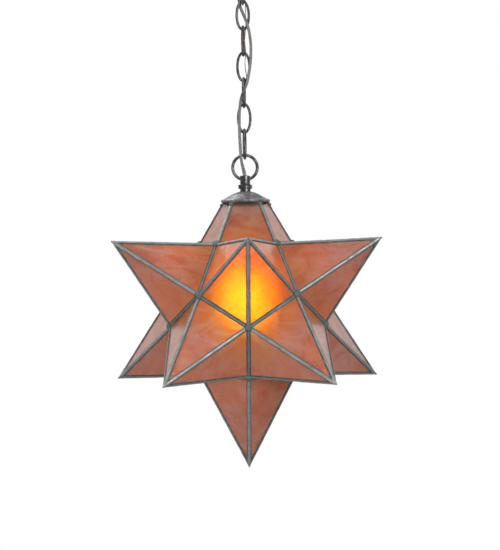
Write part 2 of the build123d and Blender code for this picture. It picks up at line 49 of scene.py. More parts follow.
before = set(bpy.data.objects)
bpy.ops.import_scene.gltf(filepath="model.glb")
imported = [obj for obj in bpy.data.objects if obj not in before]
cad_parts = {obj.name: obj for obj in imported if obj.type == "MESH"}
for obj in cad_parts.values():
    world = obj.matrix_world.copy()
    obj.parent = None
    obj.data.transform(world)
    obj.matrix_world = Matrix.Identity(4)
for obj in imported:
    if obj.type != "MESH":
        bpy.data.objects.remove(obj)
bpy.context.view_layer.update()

# ------------------------------------------------------------------ sizes of the star, in metres
CORE_EDGE = 0.0721  # a valley between two points
TIP_RADIUS = 0.1905  # star centre to a tip
BOTTOM_TIP_RADIUS = 0.1935
TOP_APEX_RADIUS = 0.179  # where the cut top point's ridges would meet
TOP_CUT_HEIGHT = 0.130
STAR_CENTRE = Vector((0, 0, -0.47075))
LAMP_CENTRE = (0, 0, -0.45825)
HOT_SPOT = (-0.008, -0.024, -0.477)  # the lamp's glass shines brightest round here
PAINTED_GLOW_SPOT = (-0.006, -0.123, -0.453)  # painted glow: the front point's sheets are coloured golden round here
CAP_SHADE = (-0.3460, -0.3415)  # between these heights a painted shadow of the cap darkens the mica
GOLDEN_RATIO = (1 + sqrt(5)) / 2
CORE_INRADIUS = CORE_EDGE * GOLDEN_RATIO**2 / (2 * sqrt(3 - GOLDEN_RATIO))
BASE_RADIUS = CORE_EDGE / (2 * sin(pi / 5))
POINT_ELEVATION = 26.565  # of the ten points round the middle, in degrees up or down
UPPER_AZIMUTHS = (0, 72, 144, 216, 288)
LOWER_POINTS = {"front_right": 36, "right": 108, "left": 252, "front_left": 324}
DOOR_AZIMUTH = 180

# ------------------------------------------------------------------ sizes of the solder, in metres
INSETS = (  # (width, rise, lip) of each step from a ridge's round to the lip on the mica
    (0.0010, 1.0, 0.25),
    (0.0012, 0.0, 0.6),
    (0.0006, -1.6, 0.9),
    (0.0003, -3.2, 1.0),
)
SEAM_LIFT = -0.0004  # from its face of the core to where a point's seams start
DOOR_LIFT = 0.00025
SOLDER_WALL = 0.0019
LEAST_FACE = 4e-4  # square metres: a ridge's round is narrower
LONG_EDGE = 0.02
EDGE_CUTS = 31
RIM_BAND = (0.0002, 0.004)  # depths below the cut rim between which its band is narrowed
RIM_NARROWING = 0.35
BEAD_RADIUS = 0.0016  # on a tip
BEAD_STRETCH = 2.4
BEAD_DEPTH = 0.0042  # from a tip to its bead's middle
JOINT_FLATNESS = 0.62
JOINT_RISE = 0.0002
JOINT_SPACING = 0.005  # corners nearer than this share a joint
LUMP_SCALES = (0.55, 0.55, 0.8)  # a dark lump under the cap, partly solder and partly painted shade under its rim, against a joint
LUMP_DEPTH = 0.0026  # below the cut rim
SMOOTH_ANGLE = radians(50)

# ------------------------------------------------------------------ the camera and the floor
CAMERA_YAW, CAMERA_PITCH, CAMERA_ROLL = radians(0.89), radians(0.27), radians(-0.85)
STAR_FROM_CAMERA = Vector((-0.003565, 2.2308, -0.04184))  # to the right, ahead and up
LENS, SENSOR_WIDTH = 119.59, 36.0  # in millimetres
FLOOR_SIDE = 8.0

# ------------------------------------------------------------------ the chain and its cords
HINGE_HEIGHTS = (-0.0670, -0.0981, -0.1295, -0.1609, -0.1923, -0.2237, -0.2551, -0.2865)
CHAIN_BODIES = ["ceiling_fitting"] + [f"link_{n}" for n in range(1, 8)] + ["star"]
CORD_SWAY = 0.5  # the cord turns so far to and fro, in radians
EARTH_TURN = 0.009  # the earth wire's grooves turn once in this length
LINE_STEPS = 10  # points of a cord's line for each point of its route
SHORTEST_STEP = 1e-5

# Where the supply cord passes, from the ceiling fitting's barrel down to the star.
CORD_ROUTE = (
    (-0.0009, 0, -0.023),
    (-0.0009, 0, -0.036),
    (-0.0009, 0, -0.049),
    (-0.0042, 0.0043, -0.061),
    (-0.0048, 0.0048, -0.073),
    (-0.0044, 0.0043, -0.086),
    (-0.0041, 0.0041, -0.098),
    (0.0003, 0.0006, -0.11),
    (0.0049, -0.0041, -0.1215),
    (0.0078, -0.0043, -0.134),
    (0.0094, -0.0039, -0.148),
    (0.0092, -0.0042, -0.162),
    (0.0079, -0.0044, -0.175),
    (0.0058, -0.0044, -0.186),
    (0.0042, -0.0043, -0.1945),
    (-0.0004, -0.0029, -0.205),
    (-0.0037, -0.0036, -0.214),
    (-0.0051, -0.0044, -0.223),
    (-0.0061, -0.0044, -0.234),
    (-0.0062, -0.0043, -0.248),
    (-0.0059, -0.0044, -0.263),
    (-0.0053, -0.0044, -0.277),
    (-0.0047, -0.0045, -0.288),
    (-0.0026, -0.0022, -0.2985),
    (-0.0009, 0, -0.3075),
    (-0.0009, 0, -0.319),
    (-0.0009, 0, -0.35405),
)
# Where the bare earth wire passes.
EARTH_ROUTE = (
    (0.00175, 0, -0.023),
    (0.00175, 0, -0.036),
    (0.00175, 0, -0.049),
    (0.0034, 0.0031, -0.061),
    (0.0037, 0.0037, -0.074),
    (0.0032, 0.0034, -0.089),
    (0.0034, 0.0033, -0.103),
    (0.0036, 0.0034, -0.116),
    (0.0037, 0.0033, -0.127),
    (0.0022, 0.0024, -0.138),
    (0.002, 0.0019, -0.147),
    (0.0035, 0.0031, -0.1565),
    (0.002, 0.0034, -0.165),
    (0.0019, 0.0034, -0.174),
    (0.0034, 0.0033, -0.184),
    (0.0043, 0.003, -0.192),
    (-0.0003, 0.0009, -0.205),
    (-0.0044, 0.0019, -0.215),
    (-0.0059, 0.0027, -0.224),
    (-0.0064, 0.0027, -0.238),
    (-0.0059, 0.0027, -0.252),
    (-0.0058, 0.0016, -0.264),
    (-0.0054, 0.0028, -0.275),
    (-0.0044, 0.0029, -0.286),
    (-0.0008, 0.0016, -0.2975),
    (0.00175, 0, -0.3075),
    (0.00175, 0, -0.319),
    (0.00175, 0, -0.35405),
)

# ------------------------------------------------------------------ what a user would change


def size(name, description, default):
    return FloatProperty(name=name, description=description, default=default, min=0.0, precision=5,
                         unit="LENGTH", subtype="DISTANCE")


def tone(name, description, default):
    return FloatVectorProperty(name=name, description=description, default=default, min=0.0,
                               max=1.0, size=3, subtype="COLOR")


def amount(name, description, default, highest=10.0):
    return FloatProperty(name=name, description=description, default=default, min=0.0, max=highest)


class SeamSettings(bpy.types.PropertyGroup):
    """The soldered metal between the mica panels."""

    ridge_round: size("Ridge rounding", "Width of a ridge's round on each side", 0.0009)
    crown: size("Crown", "How far the solder stands above the face between ridge and lip", 0.00022)
    wave: size("Wave", "How far the solder's surface wanders", 0.0007)
    joint_radius: size("Joint radius", "Radius of the solder joint where six seams meet", 0.0048)
    metal: tone("Bright metal", "Where the solder is rubbed bright", (0.35, 0.355, 0.355))
    patina: tone("Patina", "Blue-green bloom in the hollows and along the lips", (0.13, 0.20, 0.18))


class MicaSettings(bpy.types.PropertyGroup):
    """The amber mica panels and the light behind them."""

    amber: tone("Amber", "The sheet's main colour", (0.66, 0.27, 0.165))
    deep: tone("Deep amber", "Streaks and blotches in the sheet", (0.52, 0.155, 0.082))
    veil: tone("Veil", "Paler flakes near the surface", (0.64, 0.40, 0.35))
    lamp: tone("Lamp light", "Colour of the lit lamp's frosted glass", (1.0, 0.86, 0.0))
    glow: amount("Lamp strength", "How brightly the lamp shines through the mica", 280.0, 500.0)


class CordSettings(bpy.types.PropertyGroup):
    """The supply cord and the earth wire."""

    width: size("Cord width", "Across both conductors of the supply cord", 0.0037)
    thickness: size("Cord thickness", "Through one conductor of the supply cord", 0.0022)
    turn_length: size("Turn length", "Length in which the cord turns to and fro once", 0.17)
    earth: size("Earth wire", "Diameter of the bare stranded earth wire", 0.0011)
    jacket: tone("Jacket", "Colour of the cord's jacket", (0.19, 0.19, 0.19))


class StageSettings(bpy.types.PropertyGroup):
    """Lights and surroundings."""

    room_light: amount("Room light", "Strength of the even light from all round", 0.36)
    shine: amount("Shine", "How white the room above and behind looks in reflections", 0.72, 1.0)
    floor_height: FloatProperty(
        name="Floor height", description="Height of the pale floor from the ceiling", default=-1.9,
        max=0.0, unit="LENGTH", subtype="DISTANCE")
    key_power: amount("Key light", "Power of the large light in front, in watts", 40.0, 500.0)


# ------------------------------------------------------------------ small helpers


def deselect():
    if bpy.context.object and bpy.context.object.mode != "OBJECT":
        bpy.ops.object.mode_set(mode="OBJECT")
    bpy.ops.object.select_all(action="DESELECT")


def activate(piece):
    """Makes a piece the only one selected."""
    deselect()
    piece.select_set(True)
    bpy.context.view_layer.objects.active = piece


def edit_pick(piece, kind, test):
    """In edit mode, selects only the faces, edges or vertices that pass a test."""
    shape = bmesh.from_edit_mesh(piece.data)
    for group in (shape.verts, shape.edges, shape.faces):
        for element in group:
            element.select = False
    for element in [e for e in getattr(shape, kind) if test(e)]:
        element.select_set(True)
    bmesh.update_edit_mesh(piece.data)


def settle(piece):
    """Leaves a finished piece at the origin, with its place in its mesh."""
    activate(piece)
    bpy.ops.object.transform_apply(location=True, rotation=True, scale=True)


def modify(piece, kind, **settings):
    """Adds one modifier and applies it."""
    activate(piece)
    modifier = piece.modifiers.new(kind.title(), kind)
    for key, value in settings.items():
        setattr(modifier, key, value)
    bpy.ops.object.modifier_apply(modifier=modifier.name)


def wander(piece, name, grain, strength):
    """Lets a surface wander in and out by a soft noise."""
    texture = bpy.data.textures.get(name) or bpy.data.textures.new(name, "CLOUDS")
    texture.noise_scale = grain
    texture.noise_depth = 2
    modify(piece, "DISPLACE", texture=texture, strength=strength, mid_level=0.5,
           texture_coords="LOCAL")


def dress(piece, material):
    piece.data.materials.clear()
    piece.data.materials.append(material)


def pentagon(radius, height):
    """Five corners in a point's own frame."""
    turns = [2 * pi * k / 5 for k in range(5)]
    return [Vector((radius * cos(turn), radius * sin(turn), height)) for turn in turns]


def point_matrix(azimuth, elevation):
    """A point's own frame: Z runs out to the tip and X to a corner of its base."""
    turn, rise = radians(azimuth), radians(elevation)
    outward = Vector((cos(rise) * sin(turn), -cos(rise) * cos(turn), sin(rise)))
    upward = Vector((-sin(rise) * sin(turn), sin(rise) * cos(turn), cos(rise)))
    corner = -upward if 0 < elevation < 90 else upward
    matrix = Matrix((corner, outward.cross(corner), outward)).transposed().to_4x4()
    matrix.translation = STAR_CENTRE
    return matrix


# ------------------------------------------------------------------ shader wiring


class Wire:
    """A node's output, on which sums can be written."""

    def __init__(self, wiring, socket):
        self.wiring, self.socket = wiring, socket

    def other(self, output):
        """Another output of the same node."""
        return Wire(self.wiring, self.socket.node.outputs[output])

    def math(self, operation, *values):
        inputs = dict(enumerate((self, *values)))
        return self.wiring.node("ShaderNodeMath", {"operation": operation}, inputs)

    def __add__(self, value):
        return self.math("ADD", value)

    def __sub__(self, value):
        return self.math("SUBTRACT", value)

    def __mul__(self, value):
        return self.math("MULTIPLY", value)


class Wiring:
    """A node tree that is being wired."""

    def __init__(self, tree):
        self.tree = tree

    def node(self, kind, settings=None, inputs=None, output=0):
        """Adds any node: its settings first, then the values or links of its sockets."""
        made = self.tree.nodes.new(kind)
        for key, value in (settings or {}).items():
            setattr(made, key, value)
        for key, value in (inputs or {}).items():
            self.feed(made.inputs[key], value)
        return Wire(self, made.outputs[output])

    def feed(self, socket, value):
        if isinstance(value, Wire):
            self.tree.links.new(value.socket, socket)
        elif socket.type == "RGBA" and len(value) == 3:
            socket.default_value = (*value, 1)
        else:
            socket.default_value = value

    def span(self, value, low, high, start=0.0, end=1.0, clamp=True):
        """Carries a value from one range to another, held at both ends unless clamp is off."""
        inputs = {"Value": value, "From Min": low, "From Max": high, "To Min": start, "To Max": end}
        return self.node("ShaderNodeMapRange", {"clamp": clamp}, inputs)


class Finish(Wiring):
    """A material being wired: its shader and the nodes that feed it."""

    def __init__(self, name, **constants):
        self.material = bpy.data.materials.new(name)
        self.material.use_nodes = True
        super().__init__(self.material.node_tree)
        self.shader = self.tree.nodes["Principled BSDF"]
        for socket, value in constants.items():
            self.set(socket.replace("_", " ").title().replace("Ior", "IOR"), value)
        self.place = self.node("ShaderNodeTexCoord", output="Object")

    def set(self, socket, value):
        self.feed(self.shader.inputs[socket], value)

    def noise(self, scale, detail=4.0, rough=0.5, warp=0.0, at=None):
        inputs = {"Vector": at or self.place, "Scale": scale, "Detail": detail, "Roughness": rough,
                  "Distortion": warp}
        return self.node("ShaderNodeTexNoise", {}, inputs)

    def cells(self, scale):
        """Distance to the nearest of many scattered dots."""
        inputs = {"Vector": self.place, "Scale": scale}
        return self.node("ShaderNodeTexVoronoi", {"feature": "F1"}, inputs, "Distance")

    def stretched(self, scales, turn=(0, 0, 0)):
        inputs = {"Vector": self.place, "Rotation": turn, "Scale": scales}
        return self.node("ShaderNodeMapping", {}, inputs)

    def away_from(self, spot):
        """Distance from a spot."""
        inputs = {0: self.place, 1: spot}
        return self.node("ShaderNodeVectorMath", {"operation": "DISTANCE"}, inputs, "Value")

    def along(self):
        """A cord's own measures: turns round it and metres along it."""
        measures = self.node("ShaderNodeUVMap", {"uv_map": "along"})
        parts = self.node("ShaderNodeSeparateXYZ", {}, {0: measures})
        return parts.other("X"), parts.other("Y")

    def mix(self, share, first, second, blend="MIX"):
        settings = {"data_type": "RGBA", "blend_type": blend, "clamp_factor": True}
        return self.node("ShaderNodeMix", settings, {0: share, 6: first, 7: second}, 2)

    def bump(self, height, depth, strength):
        inputs = {"Height": height, "Distance": depth, "Strength": strength}
        return self.node("ShaderNodeBump", {}, inputs, "Normal")


# ------------------------------------------------------------------ finishes


def darker(colour, share):
    """A colour at a share of its brightness."""
    return tuple(share * part for part in colour)


def solder_finish(settings):
    """Patinated solder: grey on the crown, a dark line along the lips that is partly oxide and
    partly painted shade where the solder meets the mica, dark green at the joints.
    """
    grey, brown, joint_green = (0.25, 0.247, 0.24), (0.16, 0.115, 0.085), (0.06, 0.085, 0.075)
    finish = Finish("patinated_solder", ior=1.5, specular_ior_level=0.4)
    lip = finish.node("ShaderNodeAttribute", {"attribute_name": "lip"}, output="Fac")
    joint = finish.node("ShaderNodeAttribute", {"attribute_name": "joint"}, output="Fac")
    fine = finish.noise(800.0, 5.0, 0.6)
    broad = finish.noise(70.0, 4.0, 0.6)
    spots = finish.noise(240.0, 5.0, 0.65, at=finish.stretched((1, 1, 1), (0.4, 0.2, 0.9)))
    dull = finish.span(broad * 0.6 + fine * 0.25 + spots * 0.15 + joint * 0.12, 0.42, 0.62)
    colour = finish.mix(dull, settings.metal, grey)
    # the dark line along the lips: partly oxide, partly painted shade where the solder meets the
    # mica
    lip_oxide_and_shade = finish.span(lip + (broad - 0.5) * 0.3 + (fine - 0.5) * 0.15, 0.2, 0.6)
    oxide_and_shade_dark = finish.mix(finish.span(spots, 0.42, 0.62), (0.03, 0.03, 0.029), (0.06, 0.06, 0.057))
    colour = finish.mix(lip_oxide_and_shade * 0.92, colour, oxide_and_shade_dark)
    green = finish.span(finish.noise(140.0, 5.0, 0.7) + lip * 0.05 + joint * 0.14, 0.50, 0.68)
    colour = finish.mix(green * 0.7, colour, settings.patina)
    stains = finish.noise(110.0, 3.0, 0.6, at=finish.stretched((1, 1, 1), (1.1, 0.5, 0)))
    colour = finish.mix(finish.span(stains, 0.58, 0.74) * 0.4, colour, brown)
    colour = finish.mix(joint * 0.55, colour, joint_green)
    finish.set("Base Color", colour)
    worn = lip_oxide_and_shade + green * 0.8 + dull * 0.3 + joint
    finish.set("Metallic", finish.span(worn, 0.0, 1.2, 0.72, 0.12))
    coarse = dull * 0.5 + fine * 0.3 + lip_oxide_and_shade * 0.2 + joint * 0.5
    finish.set("Roughness", finish.span(coarse, 0.1, 1.4, 0.38, 0.82))
    height = fine * 0.3 + finish.noise(330.0, 4.0, 0.6) * 0.7
    finish.set("Normal", finish.bump(height, 0.0006, 0.7))
    return finish.material


def mica_finish(settings):
    """Amber mica: mottled and streaked sheet with fine dark veins, through which the lamp shines.
    Painted glow colours the sheets warmer near the lamp and the front point's sheets golden near
    their middle; a painted shadow darkens them under the cap."""
    grain_brown, vein_brown = (0.30, 0.09, 0.04), (0.14, 0.028, 0.02)
    speck_brown, streak_red = (0.11, 0.024, 0.016), (0.34, 0.06, 0.04)
    cap_shadow = (0.10, 0.022, 0.016)
    painted_glow_orange, painted_glow_gold, lamp_glow_tint = (0.62, 0.20, 0.01), (0.88, 0.46, 0.012), (1.0, 0.80, 0.15)
    finish = Finish("amber_mica", ior=1.62, transmission_weight=0.6, coat_roughness=0.22)
    facing = finish.node("ShaderNodeTexCoord", output="Normal")
    height = finish.node("ShaderNodeSeparateXYZ", {}, {0: finish.place}, "Z")
    sheet = finish.noise(2.3, 0.0, at=facing)  # each panel has its own tone
    cloud = finish.noise(24.0, 4.0, 0.6, 1.2)
    flow = finish.noise(17.0, 6.0, 0.66, 1.6, at=finish.stretched((1.0, 2.4, 2.0), (0.5, 0.3, 0.9)))
    grain = finish.noise(240.0, 5.0, 0.66)
    blotches = finish.span(cloud + (sheet - 0.5) * 0.7, 0.36, 0.68)
    colour = finish.mix(blotches, settings.amber, settings.deep)
    colour = finish.mix(finish.span(flow, 0.42, 0.64) * 0.85, colour, settings.veil)
    colour = finish.mix(finish.span(grain, 0.38, 0.76) * 0.14, colour, grain_brown)
    # painted lamp glow: the mica is coloured warmer within reach of the lamp, standing in for its
    # light through the sheet
    painted_lamp_glow = finish.span(finish.away_from(LAMP_CENTRE) + cloud * 0.03, 0.105, 0.140, 1.0, 0.0)
    colour = finish.mix(painted_lamp_glow * 0.8, colour, finish.mix(0.9, colour, lamp_glow_tint, "MULTIPLY"))
    # painted glow: the front point's sheets are coloured orange, then golden, round this spot,
    # standing in for the lamp's light through them; the coat is thinner there too
    off_painted_glow = finish.away_from(PAINTED_GLOW_SPOT) + (cloud - 0.5) * 0.02 + (flow - 0.5) * 0.09
    off_painted_glow = off_painted_glow + (grain - 0.5) * 0.02
    colour = finish.mix(finish.span(off_painted_glow, 0.035, 0.070, 0.97, 0.0), colour, painted_glow_orange)
    colour = finish.mix(finish.span(off_painted_glow, 0.008, 0.042, 0.90, 0.0), colour, painted_glow_gold)
    flattened = finish.stretched((1.0, 1.0, 1.9), (0.2, 0.6, 0.1))
    veins = finish.noise(55.0, 5.0, 0.62, 1.5, at=flattened)
    vein = finish.span((veins - 0.5).math("ABSOLUTE"), 0.0, 0.012, 1.0, 0.0)
    vein = vein * finish.span(finish.noise(24.0, 3.0), 0.46, 0.58)
    colour = finish.mix(vein * 0.6, colour, vein_brown)
    speck = finish.span(finish.cells(150.0), 0.05, 0.17, 1.0, 0.0)
    speck = speck * finish.span(finish.noise(46.0, 3.0, 0.6), 0.55, 0.64)
    colour = finish.mix(speck * 0.7, colour, speck_brown)
    drawn_out = finish.stretched((4.0, 1.0, 0.7), (0.0, 0.4, 0.5))
    streaks = finish.noise(22.0, 4.0, 0.6, 0.6, at=drawn_out)
    colour = finish.mix(finish.span(streaks, 0.62, 0.76) * 0.5, colour, streak_red)
    # painted shadow: the mica darkens just under the cap's rim
    shade = finish.span(height + cloud * 0.003, *CAP_SHADE, 0.0, 0.85)
    colour = finish.mix(shade, colour, cap_shadow)
    finish.set("Base Color", colour)
    finish.set("Coat Weight", finish.span(off_painted_glow, 0.045, 0.075, 0.0, 0.5))
    finish.set("Roughness", finish.span(cloud * 0.5 + grain * 0.5, 0.3, 0.7, 0.30, 0.40))
    relief = cloud * 0.5 + flow * 0.35 + grain * 0.05 - vein * 0.08
    finish.set("Normal", finish.bump(relief, 0.0012, 0.45))
    return finish.material


def worn_metal(name, oxide_and_shade_dark, bright, rubbed, green, rough, grain=520.0, metallic=0.9, rim=0.45):
    """A dark finish rubbed through to brighter metal, with a little green bloom in it."""
    finish = Finish(name, ior=1.5, specular_ior_level=0.3, specular_tint=(rim, rim, rim, 1.0))
    broad = finish.noise(85.0, 4.0, 0.6)
    fine = finish.noise(grain, 6.0, 0.68)
    rub = finish.span(broad * 0.55 + fine * 0.45, rubbed, rubbed + 0.2)
    colour = finish.mix(rub, oxide_and_shade_dark, bright)
    pits = finish.span(finish.cells(680.0), 0.10, 0.28, 1.0, 0.0) * finish.span(fine, 0.5, 0.62)
    colour = finish.mix(pits * 0.6, colour, darker(oxide_and_shade_dark, 0.35))
    bloom = finish.span(finish.noise(150.0, 5.0, 0.7), 0.56, 0.7) * green
    colour = finish.mix(bloom, colour, (0.12, 0.18, 0.165))
    finish.set("Base Color", colour)
    finish.set("Metallic", finish.span(rub, 0.0, 1.0, metallic - 0.25, metallic))
    finish.set("Roughness", finish.span(rub * 0.5 + fine * 0.5, 0.1, 0.9, rough[1], rough[0]))
    finish.set("Normal", finish.bump(broad * 0.4 + fine * 0.6 - pits * 0.3, 0.00035, 0.55))
    return finish.material


def spun_metal(name, colour, stain, rough):
    """Plated or turned metal: fine rings about the hanging axis, and faint stains."""
    finish = Finish(name, ior=1.5)
    rings = finish.noise(1400.0, 2.0, 0.5, at=finish.stretched((0.12, 0.12, 1.0)))
    cloud = finish.noise(60.0, 4.0, 0.6)
    fine = finish.noise(420.0, 5.0, 0.65)
    shade = finish.mix(finish.span(cloud * 0.6 + fine * 0.4, 0.42, 0.68), colour, stain)
    shade = finish.mix(finish.span(rings, 0.3, 0.7) * 0.2, shade, darker(colour, 0.7))
    finish.set("Base Color", shade)
    finish.set("Metallic", finish.span(cloud, 0.3, 0.8, 1.0, 0.85))
    matt = finish.span(fine * 0.5 + cloud * 0.5, 0.3, 0.7, rough - 0.06, rough + 0.16)
    finish.set("Roughness", matt)
    finish.set("Normal", finish.bump(rings * 0.5 + fine * 0.5, 0.00012, 0.5))
    return finish.material


def jacket_finish(settings):
    """Soft grey cord jacket with fine ribs along it, a little dusty."""
    rib_count = 26
    finish = Finish("cord_insulation", ior=1.48)
    around, _ = finish.along()
    ribs = (around * (2 * pi * rib_count)).math("SINE")
    dust = finish.noise(160.0, 5.0, 0.65)
    smear = finish.noise(45.0, 3.0, 0.6)
    colour = finish.mix(finish.span(dust, 0.4, 0.72), settings.jacket, (0.12, 0.12, 0.12))
    colour = finish.mix(finish.span(smear, 0.5, 0.75) * 0.5, colour, (0.26, 0.26, 0.258))
    finish.set("Base Color", colour)
    finish.set("Roughness", finish.span(dust * 0.6 + smear * 0.4, 0.3, 0.7, 0.34, 0.52))
    finish.set("Metallic", 0.0)
    finish.set("Normal", finish.bump(ribs * 0.5 + dust * 0.4, 0.00008, 0.6))
    return finish.material


def strand_finish():
    """Bare tinned copper strands laid in a long twist."""
    strand_count, turns_per_metre = 7.0, 110.0
    finish = Finish("bare_copper", ior=1.5)
    around, run = finish.along()
    twist = ((around * strand_count + run * turns_per_metre) * (2 * pi)).math("SINE")
    stain = finish.noise(210.0, 4.0, 0.6)
    colour = finish.mix(finish.span(stain, 0.42, 0.66), (0.62, 0.52, 0.44), (0.40, 0.29, 0.22))
    # darker in the grooves between the strands: painted shade
    colour = finish.mix(finish.span(twist, -1.0, -0.2, 0.7, 0.0), colour, (0.12, 0.07, 0.05))
    finish.set("Base Color", colour)
    finish.set("Metallic", finish.span(stain, 0.3, 0.8, 1.0, 0.85))
    finish.set("Roughness", finish.span(stain, 0.3, 0.7, 0.28, 0.48))
    finish.set("Normal", finish.bump(twist * 0.5, 0.00012, 0.8))
    return finish.material


def porcelain_finish():
    """Glazed white porcelain with faint specks and a soft wave in the glaze."""
    finish = Finish("porcelain", ior=1.52, coat_roughness=0.08)
    wave = finish.noise(70.0, 3.0, 0.5)
    speck = finish.span(finish.cells(260.0), 0.04, 0.09, 1.0, 0.0)
    speck = speck * finish.span(finish.noise(90.0), 0.52, 0.6)
    colour = finish.mix(finish.span(wave, 0.35, 0.7), (0.78, 0.77, 0.73), (0.70, 0.68, 0.62))
    finish.set("Base Color", finish.mix(speck * 0.6, colour, (0.30, 0.24, 0.18)))
    finish.set("Roughness", finish.span(wave, 0.3, 0.7, 0.14, 0.26))
    finish.set("Coat Weight", finish.span(wave, 0.3, 0.7, 0.5, 0.35))
    finish.set("Normal", finish.bump(wave, 0.0004, 0.4))
    return finish.material


def lit_glass_finish(settings):
    """Frosted lamp glass, lit: brightest low in front of its filament and dim towards its neck."""
    finish = Finish("frosted_glass", ior=1.5, emission_strength=settings.glow)
    frost = finish.noise(240.0, 4.0, 0.6)
    dim = finish.span(finish.away_from(HOT_SPOT), 0.005, 0.034)
    deeper = darker(settings.lamp, 0.8)
    light = finish.mix(finish.span(frost, 0.3, 0.7) * 0.12, settings.lamp, deeper)
    finish.set("Emission Color", finish.mix(dim, light, (0.055, 0.018, 0.0)))
    glass = finish.mix(finish.span(frost, 0.35, 0.65), (0.82, 0.80, 0.74), (0.74, 0.71, 0.64))
    finish.set("Base Color", glass)
    finish.set("Roughness", finish.span(frost, 0.3, 0.7, 0.4, 0.55))
    finish.set("Normal", finish.bump(frost, 0.0001, 0.5))
    return finish.material


def pale_finish():
    """Of the floor: matt grey to the lights, white to the camera, see-through from below."""
    finish = Finish("pale_floor", base_color=(0.45, 0.45, 0.45), roughness=0.9,
                    specular_ior_level=0.0)
    from_camera = finish.node("ShaderNodeLightPath", output="Is Camera Ray")
    from_below = finish.node("ShaderNodeNewGeometry", output="Backfacing")
    grey, white = Wire(finish, finish.shader.outputs[0]), finish.node("ShaderNodeEmission")
    clear = finish.node("ShaderNodeBsdfTransparent")
    above = finish.node("ShaderNodeMixShader", {}, {0: from_camera, 1: grey, 2: white})
    surface = finish.node("ShaderNodeMixShader", {}, {0: from_below, 1: above, 2: clear})
    finish.feed(finish.tree.nodes["Material Output"].inputs["Surface"], surface)
    return finish.material


# ------------------------------------------------------------------ cords


def smooth_line(name, route):
    """The points of the smooth line that a route of control points draws."""
    curve = bpy.data.curves.new(name, "CURVE")
    curve.dimensions = "3D"
    spline = curve.splines.new("NURBS")
    spline.points.add(len(route) - 1)
    for point, place in zip(spline.points, route):
        point.co = (*place, 1.0)
    spline.order_u = 3
    spline.use_endpoint_u = True
    curve.resolution_u = spline.resolution_u = LINE_STEPS
    carrier = bpy.data.objects.new(name, curve)
    bpy.context.scene.collection.objects.link(carrier)
    bpy.context.view_layer.update()
    mesh = bpy.data.meshes.new_from_object(carrier)
    points = [vertex.co.copy() for vertex in mesh.vertices]
    bpy.data.objects.remove(carrier)
    bpy.data.curves.remove(curve)
    bpy.data.meshes.remove(mesh)
    return points


def stations(points, turn_length, sway=0.0):
    """Along a line: (point, tangent, side, distance). The side turns once in turn_length,
    or to and fro by sway in it."""
    side, distance, found = Vector((1, 0, 0)), 0.0, []
    for index, point in enumerate(points):
        before, after = points[max(index - 1, 0)], points[min(index + 1, len(points) - 1)]
        tangent = (after - before).normalized()
        side = (side - tangent * side.dot(tangent)).normalized()
        if index:
            distance += (point - points[index - 1]).length
        phase = 2 * pi * distance / turn_length
        turned = Matrix.Rotation(sway * sin(phase) if sway else phase, 3, tangent) @ side
        found.append((point, tangent, turned, distance))
    return found


def between(first, second, height):
    """The station on the line between two others at a height."""
    share = (first[0].z - height) / (first[0].z - second[0].z)
    return tuple(a + (b - a) * share for a, b in zip(first, second))


def lengths_of(line):
    """Cuts a line of stations at the middle of each link."""
    cuts = [(a + b) / 2 for a, b in zip(HINGE_HEIGHTS, HINGE_HEIGHTS[1:])]
    pieces, current = [], [line[0]]
    for first, second in zip(line, line[1:]):
        while cuts and first[0].z > cuts[0] >= second[0].z:
            cut = between(first, second, cuts.pop(0))
            current.append(cut)
            pieces.append(current)
            current = [cut]
        if (second[0] - current[-1][0]).length > SHORTEST_STEP:
            current.append(second)
    return pieces + [current]


def wrapped(name, line, outline):
    """A closed mesh with one outline at each station, and a UV map in turns and metres."""
    mesh = bpy.data.meshes.new(name)
    shape = bmesh.new()
    rings = []
    for point, tangent, side, _ in line:
        other = tangent.cross(side)
        rings.append([shape.verts.new(point + side * x + other * y) for x, y in outline])
    map_layer = shape.loops.layers.uv.new("along")
    count = len(outline)
    for row, (first, second) in enumerate(zip(rings, rings[1:])):
        for k in range(count):
            corners = (first[k], first[(k + 1) % count], second[(k + 1) % count], second[k])
            face = shape.faces.new(corners)
            face.smooth = True
            around = (k / count, (k + 1) / count, (k + 1) / count, k / count)
            runs = (line[row][3], line[row][3], line[row + 1][3], line[row + 1][3])
            for loop, u, v in zip(face.loops, around, runs):
                loop[map_layer].uv = (u, v)
    shape.faces.new(reversed(rings[0]))
    shape.faces.new(rings[-1])
    bmesh.ops.recalc_face_normals(shape, faces=shape.faces)
    shape.to_mesh(mesh)
    shape.free()
    piece = bpy.data.objects.new(name, mesh)
    bpy.context.scene.collection.objects.link(piece)
    return piece


def twin_outline(width, thickness):
    """Two round conductors side by side, joined in a waist."""
    steps, waist_gap = 9, 0.12
    radius = thickness / 2
    offset = width / 2 - radius
    waist = acos(-offset / radius) - waist_gap if offset < radius else pi / 2
    arc = [waist * (2 * k / steps - 1) for k in range(steps + 1)]
    right = [(offset + radius * cos(a), radius * sin(a)) for a in arc]
    return right + [(-x, -y) for x, y in right]


def strand_outline(diameter):
    """A round with shallow grooves."""
    sides, groove = 14, 0.10
    outline = []
    for k in range(sides):
        radius, turn = diameter / 2 * (1 - groove * (k % 2)), 2 * pi * k / sides
        outline.append((radius * cos(turn), radius * sin(turn)))
    return outline


def hang_line(name, node, route, outline, turn, material):
    """Weaves one cord down the chain, in lengths cut at the middle of each link."""
    line = stations(smooth_line(name, route), *turn)
    for index, part in enumerate(lengths_of(line)):
        piece = wrapped(f"{name}_{index + 1}", part, outline)
        dress(piece, material)
        CHAIN_BODIES[index + 1]
        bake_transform(piece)
        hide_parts(node)
        length = part[-1][3] - part[0][3]


# ------------------------------------------------------------------ soldered seams


